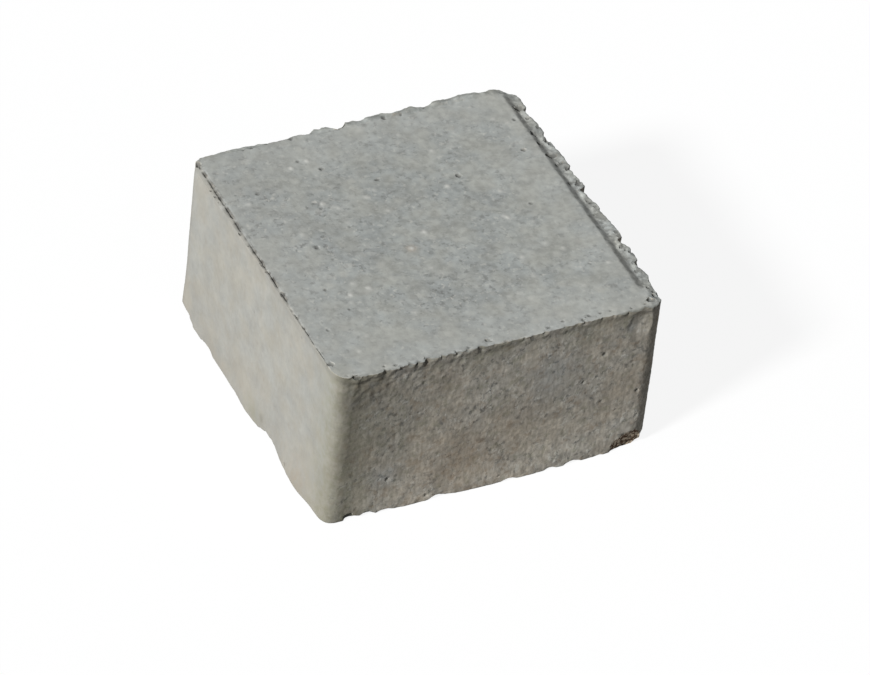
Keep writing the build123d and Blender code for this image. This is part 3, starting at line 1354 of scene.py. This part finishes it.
    def carve(self, points: Array) -> tuple[Array, dict[Zone, Array]]:
        """Takes the scars and pits out of the stone by pushing its skin back.

        Args:
            points: Points of the skin.

        Returns:
            The moved points, and how far the zones reach that breaking opens up.
        """
        moved = points.copy()
        rust, hole = np.zeros(len(points)), np.zeros(len(points))
        rough = self.noise.lumps(points, Lumps.BREAK)
        for scar in self.scars():
            rag = min(self.break_rag, self.break_share * scar.bite)
            near = np.flatnonzero(np.abs(moved - scar.centre).max(axis=1) < scar.radius * self.scar_margin)
            away = moved[near] - scar.centre
            gap = np.linalg.norm(away, axis=1)
            shell = scar.radius + rough[near] * rag
            inside = gap < shell
            spot = near[inside]
            moved[spot] = scar.centre + away[inside] * (shell / gap)[inside, None]
            depth = smooth_step((shell - gap)[inside] / self.rust_edge)
            rust[spot] = np.maximum(rust[spot], depth * scar.rust)
        ragged = 1 + self.pit_rag * rough
        for pit in self.pits():
            away = np.linalg.norm(points - np.array(pit.place), axis=1) * ragged / pit.radius
            spot = np.flatnonzero(away < 1)
            push = np.sqrt(1 - away[spot] ** 2)
            moved[spot] += unit(pit.way_in) * (push * pit.depth)[:, None]
            # The pits are painted dark: painted shade inside them, with some dirt
            hole[spot] = np.maximum(hole[spot], smooth_step(self.pit_dark * push))
        return moved, {Zone.RUST: rust, Zone.PIT: hole}

    def stain(self, points: Array, shares: Array, zones: dict[Zone, Array]) -> None:
        """Adds the marks, the broad stains and darkening of the sides, and painted shade below the front's
        upper edge.

        Args:
            points: Points of the skin.
            shares: Shares of the four sides, 0 on the top and the bed.
            zones: How far each zone reaches, changed in place.
        """
        wander = 1 + self.mark_rag * self.noise.lumps(points, Lumps.MARK_EDGE)
        for mark in self.marks():
            away = np.linalg.norm(points - np.array(mark.place), axis=1) / mark.reach * wander
            zones[mark.zone] = np.maximum(zones[mark.zone], mark.strength * bell(away))
        x, y = self.half
        height = points[:, 2]
        along = points[:, 0] + x
        front = shares[:, Side.FRONT.value]
        high = height / self.face
        # Painted shade, partly dirt, below the front's upper edge, where it overhangs
        edge = smooth_step((height - self.face + self.edge_depth) / self.edge_rise)
        # The front is painted darker towards its left end and towards its top
        end = sum(dark * fade_out(along, run) for dark, run in self.end_darks)
        lifted = self.front_dark * smooth_step((height - self.front_dark_foot) / self.front_dark_rise)
        # Painted shade high on the front towards its left end, below the edge that overhangs it
        shaded = self.shade_dark * fade_out(along, self.shade_run)
        shaded = shaded * smooth_step((height - self.shade_foot) / self.shade_rise)
        zones[Zone.DARK] += front * (lifted + self.high_dark * high + end + shaded + self.edge_dark * edge)
        left = shares[:, Side.LEFT.value] * fade_out(height, self.left_height)
        zones[Zone.BROWN] += self.left_brown * left
        zones[Zone.DARK] += self.left_dark * left
        corner = np.hypot(along - self.corner_olive_in, points[:, 1] + y) / self.corner_olive_reach
        uneven = self.band_level + self.band_spread * self.noise.lumps(points, Lumps.OLIVE_BAND)
        strip = fade_out(y - points[:, 1], self.back_olive_width)
        strip = strip * (height > self.face - self.back_olive_depth)
        olive = (
            self.corner_olive * bell(corner) * shares.sum(axis=1) * wander,
            front * smooth_step((high - self.band_foot) / self.band_rise) * uneven,
            self.back_olive * strip,
        )
        for share in olive:
            zones[Zone.OLIVE] = np.maximum(zones[Zone.OLIVE], share)

    def skin(self, net: Lattice) -> tuple[Array, dict[Zone, Array]]:
        """Gives the plain net its relief.

        Args:
            net: The plain net.

        Returns:
            The points of the stone's skin, and how far each zone reaches on it.
        """
        outer, way = rounded_distance(net.plan, self.half, self.corner_radius)
        edge = net.plan - way * outer[:, None]
        near = fade_out(-outer, self.edge_fade)
        rise, zones = self.top_relief(net.plan)
        lean, _ = self.wall_relief(np.column_stack([edge, np.full(len(edge), self.face)]), way)
        top = np.column_stack([net.plan + way * (lean * near)[:, None], self.face + rise])
        spread, _ = self.wall_relief(np.column_stack([edge, np.zeros(len(edge))]), way)
        flat = np.column_stack([net.plan, np.zeros(len(net.plan))])
        pores = self.noise.bubbles(flat, Bubbles.BED, self.bed_holes)
        dents = self.bed_hole_depth * pores * (1 - near)
        bed = np.column_stack([net.plan + way * (spread * near)[:, None], dents])
        levels = net.levels[1:-1]
        height = np.repeat(levels, len(net.ring))
        wall_way = np.tile(way[net.ring], (len(levels), 1))
        wall = np.column_stack([np.tile(net.plan[net.ring], (len(levels), 1)), height])
        out, holes = self.wall_relief(wall, wall_way)
        lift = np.tile(rise[net.ring], len(levels)) * fade_out(self.face - height, self.edge_fade)
        wall = wall + np.column_stack([wall_way * out[:, None], lift])
        points, broken = self.carve(np.vstack([top, bed, wall]))
        blank = np.zeros(len(bed) + len(wall))
        full = {zone: np.concatenate([zones.get(zone, np.zeros(len(top))), blank]) for zone in Zone}
        # Air holes in the bed and the sides are painted dark: painted shade in the hollows, with some dirt
        hollow = [pores / self.bed_hole_dark, holes / self.side_hole_dark]
        full[Zone.PIT][len(top) :] = np.concatenate(hollow)
        for zone, reach in broken.items():
            full[zone] = np.maximum(full[zone], reach)
        shares = np.vstack([np.zeros((len(top) + len(bed), len(Side))), self.side_shares(wall_way)])
        full[Zone.SLURRY] += self.by_side(shares, "slurry")
        self.stain(points, shares, full)
        return points * MM, {zone: np.clip(value, 0.0, 1.0) for zone, value in full.items()}

    def build(self) -> bpy.types.Object:
        """Makes the stone's mesh and puts it in the scene.

        Returns:
            The stone.
        """
        net = self.lattice()
        points, zones = self.skin(net)
        mesh = bpy.data.meshes.new(self.name)
        mesh.from_pydata(points, [], net.quads)
        for layer in LAYERS:
            paint = np.ones((len(points), 4))
            for zone in Zone:
                if zone.layer == layer:
                    paint[:, zone.channel] = zones[zone]
            colors = mesh.attributes.new(layer, "FLOAT_COLOR", "POINT")
            colors.data.foreach_set("color", paint.ravel())
        stone = bpy.data.objects.new(self.name, mesh)
        bpy.context.scene.collection.objects.link(stone)
        self.lighten(stone)
        stone.data.shade_smooth()
        stone.data.set_sharp_from_angle(angle=self.sharp_angle)
        return stone

    def lighten(self, stone: bpy.types.Object) -> None:
        """Merges faces where the skin is even, down to the budget of triangles.

        Args:
            stone: The stone with its full net.
        """
        fewer = stone.modifiers.new("lighten", "DECIMATE")
        fewer.ratio = self.triangles / (2 * len(stone.data.polygons))
        fewer.use_collapse_triangulate = True
        graph = bpy.context.evaluated_depsgraph_get()
        light = bpy.data.meshes.new_from_object(stone.evaluated_get(graph))
        stone.modifiers.clear()
        stone.data = light

    def dress(self, stone: bpy.types.Object) -> None:
        """Gives the stone its finish and its place in the frame.

        Args:
            stone: The stone.
        """
        stone.data.materials.append(self.finish.material())
        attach(stone, "root")
        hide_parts(NODE)


@dataclass(frozen=True)
class Studio:
    """Plain pale floor, one soft key light from the left and a weak even fill."""

    floor_half: float = 4.0
    floor_albedo: float = 0.22
    white_share: float = 0.9
    key_way: Triple = (-0.78, -0.26, 0.565)
    key_level: float = 1.5
    key_angle: float = 9.0
    fill_color: Triple = (0.92, 0.97, 1.0)
    fill_level: float = 0.13

    def seen(self, w: Wiring) -> Socket:
        """Says whether a ray comes from the camera, straight or by way of gloss or glass.

        Args:
            w: The tree to ask in.

        Returns:
            1 for such a ray, else 0.
        """
        path = w.node("LightPath").outputs
        glossy = w.math("MAXIMUM", path["Is Glossy Ray"], path["Is Transmission Ray"])
        return w.math("MAXIMUM", path["Is Camera Ray"], glossy)

    def build(self) -> bpy.types.Object:
        """Makes the floor, the key light and the world.

        Returns:
            The floor.
        """
        self.light_key()
        self.light_world()
        return self.lay_floor()

    def lay_floor(self) -> bpy.types.Object:
        """Lays a floor that looks white, keeps the shadow and throws little light back.

        Returns:
            The floor.
        """
        r = self.floor_half
        mesh = bpy.data.meshes.new("floor")
        mesh.from_pydata([(-r, -r, 0), (r, -r, 0), (r, r, 0), (-r, r, 0)], [], [(0, 1, 2, 3)])
        floor = bpy.data.objects.new("floor", mesh)
        bpy.context.scene.collection.objects.link(floor)
        made = bpy.data.materials.new("pale_floor")
        made.use_nodes = True
        w = Wiring(made.node_tree)
        pale = w.node("BsdfDiffuse", {"Color": (1, 1, 1, 1)})
        white = w.node("Emission", {"Color": (1, 1, 1, 1), "Strength": 1.0})
        shown = w.node("MixShader", {0: self.white_share, 1: pale.outputs[0], 2: white.outputs[0]})
        dull = w.node("BsdfDiffuse", {"Color": (*[self.floor_albedo] * 3, 1)})
        both = w.node("MixShader", {0: self.seen(w), 1: dull.outputs[0], 2: shown.outputs[0]})
        w.node("OutputMaterial", {"Surface": both.outputs[0]})
        mesh.materials.append(made)
        return floor

    def light_key(self) -> None:
        """Hangs the key light."""
        lamp = bpy.data.lights.new("key", "SUN")
        lamp.energy = self.key_level * math.pi
        lamp.angle = math.radians(self.key_angle)
        key = bpy.data.objects.new("key", lamp)
        key.rotation_euler = Vector(self.key_way).to_track_quat("Z", "Y").to_euler()
        bpy.context.scene.collection.objects.link(key)

    def light_world(self) -> None:
        """Fills the shade with weak even light, and shows white where the floor ends."""
        world = bpy.data.worlds.new("studio")
        world.use_nodes = True
        bpy.context.scene.world = world
        w = Wiring(world.node_tree)
        fill = w.node("Background", {"Color": (*self.fill_color, 1), "Strength": self.fill_level})
        white = w.node("Background", {"Color": (1, 1, 1, 1), "Strength": 1.0})
        both = w.node("MixShader", {0: self.seen(w), 1: fill.outputs[0], 2: white.outputs[0]})
        w.node("OutputWorld", {"Surface": both.outputs[0]})


@dataclass(frozen=True)
class PhotoCamera:
    """Camera at the photograph's viewing angle, held a little askew."""

    target: Triple = (1.03 * MM, -11.34 * MM, 23.47 * MM)
    azimuth: float = -30.233
    elevation: float = 40.299
    roll: float = 6.982
    distance: float = 2.1214
    focal_pixels: float = 6636.8
    sensor_width: float = 36.0

    def build(self) -> bpy.types.Object:
        """Sets the camera up and makes it the scene's own.

        Returns:
            The camera.
        """
        a, e, r = (math.radians(v) for v in (self.azimuth, self.elevation, self.roll))
        back = Vector((math.sin(a) * math.cos(e), -math.cos(a) * math.cos(e), math.sin(e)))
        level = Vector((math.cos(a), math.sin(a), 0))
        above = back.cross(level)
        right = level * math.cos(r) + above * math.sin(r)
        up = above * math.cos(r) - level * math.sin(r)
        lens = bpy.data.cameras.new("photo_camera")
        lens.sensor_fit = "HORIZONTAL"
        lens.sensor_width = self.sensor_width
        lens.lens = self.focal_pixels * self.sensor_width / PHOTO_WIDTH
        camera = bpy.data.objects.new("photo_camera", lens)
        turn = Matrix((right, up, back)).transposed().to_4x4()
        camera.matrix_world = Matrix.Translation(Vector(self.target) + back * self.distance) @ turn
        bpy.context.scene.collection.objects.link(camera)
        bpy.context.scene.camera = camera
        return camera


def main() -> None:
    """Builds the stone, the studio and the camera, and notes the sizes."""
    bpy.context.scene.view_settings.view_transform = "Standard"
    low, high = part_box(NODE)
    maker = PavingStone(Vector(low), Vector(high), Concrete())
    stone = maker.build()
    maker.dress(stone)
    log.info("%s: %d triangles", stone.name, len(stone.data.polygons))
    log.info("%s laid", Studio().build().name)
    log.info("%s set", PhotoCamera().build().name)


if __name__ == "__main__":
    logging.basicConfig(level=logging.INFO)
    main()
